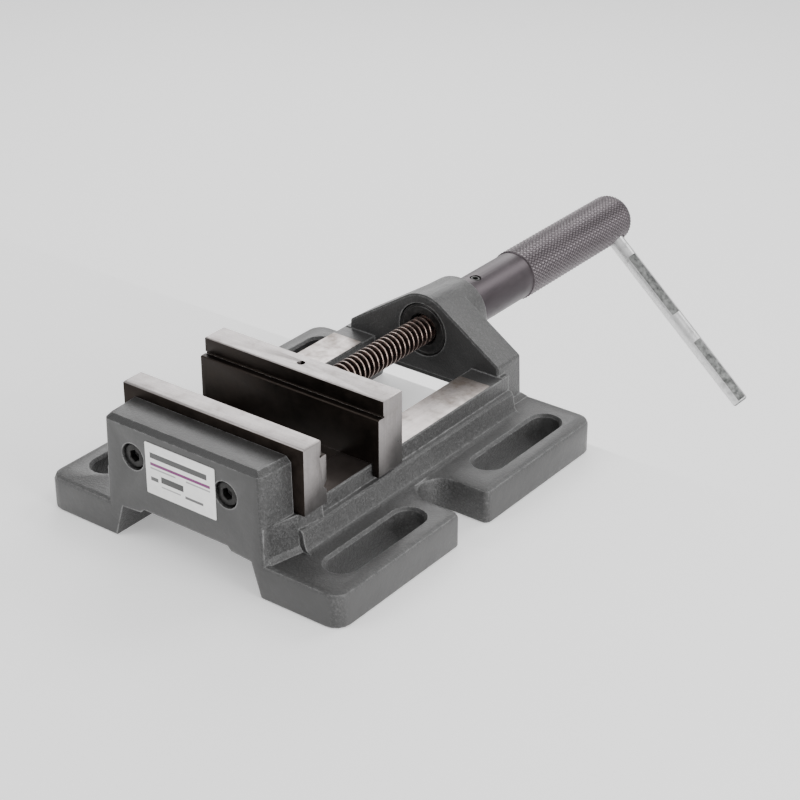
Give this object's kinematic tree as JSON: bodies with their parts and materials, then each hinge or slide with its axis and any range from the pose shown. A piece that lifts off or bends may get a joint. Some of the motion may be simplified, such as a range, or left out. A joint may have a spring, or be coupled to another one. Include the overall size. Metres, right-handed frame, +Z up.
{
  "type": "drill press vise",
  "caption": "Low bench vise for a drill press: slotted cast base, bolted jaw plate, sliding jaw on two rails, left-hand trapezoidal spindle and knurled sleeve handle with tommy bar.",
  "frame": {"origin": "middle of the base plane, between the two feet: half the casting's length back from its front face", "axes": "+Z up; +Y from the fixed jaw along the spindle towards the handle; +X across the jaws to the right seen from the fixed jaw's outer face"},
  "size_m": [0.2085, 0.4054, 0.1194],
  "materials": {
    "cast_paint": "satin dark grey enamel over cast iron",
    "jaw_steel": "ground, oiled steel, darker on the gripping faces",
    "black_oxide": "black oxide",
    "zinc_steel": "bright zinc plate",
    "label_film": "printed film, no lettering",
    "ground_steel": "ground steel",
    "spindle_steel": "blackened thread with bright crests",
    "bearing_bronze": "bearing bronze",
    "handle_steel": "phosphated grey steel, diamond knurled"
  },
  "bodies": {
    "base": {"vise_body": "cast_paint", "fixed_jaw_plate": "jaw_steel", "fixed_jaw_screw_left": "black_oxide", "fixed_jaw_screw_right": "black_oxide", "fixed_jaw_washer_left": "zinc_steel", "fixed_jaw_washer_right": "zinc_steel", "name_label": "label_film", "thrust_washer": "bearing_bronze"},
    "handle": {"spindle_nut": "black_oxide", "handle_sleeve": "handle_steel", "handle_set_screw": "black_oxide"},
    "moving_jaw": {"moving_jaw": "jaw_steel", "keeper_plate": "ground_steel", "keeper_washer_left": "zinc_steel", "keeper_washer_right": "zinc_steel", "keeper_screw_left": "black_oxide", "keeper_screw_right": "black_oxide", "spindle": "spindle_steel", "spindle_lock_pin": "black_oxide"},
    "tommy_bar": {"tommy_bar": "zinc_steel"}
  },
  "joints": [
    {"name": "handle_turn", "type": "hinge", "parent": "base", "child": "handle", "pos_m": [0, 0.12185, 0.0552], "axis": [0, 1, 0], "range_deg": [-3735, 7200]},
    {"name": "jaw_travel", "type": "slide", "parent": "base", "child": "moving_jaw", "axis": [0, 1, 0], "range_m": [-0.0416, 0.0801]},
    {"name": "bar_slide", "type": "slide", "parent": "handle", "child": "tommy_bar", "axis": [0.7524, 0, -0.6587], "range_m": [-0.12, 0]}
  ],
  "couplings": [
    {"joint": "jaw_travel", "follows": "handle_turn", "m_per_rad": 0.00063662}
  ]
}
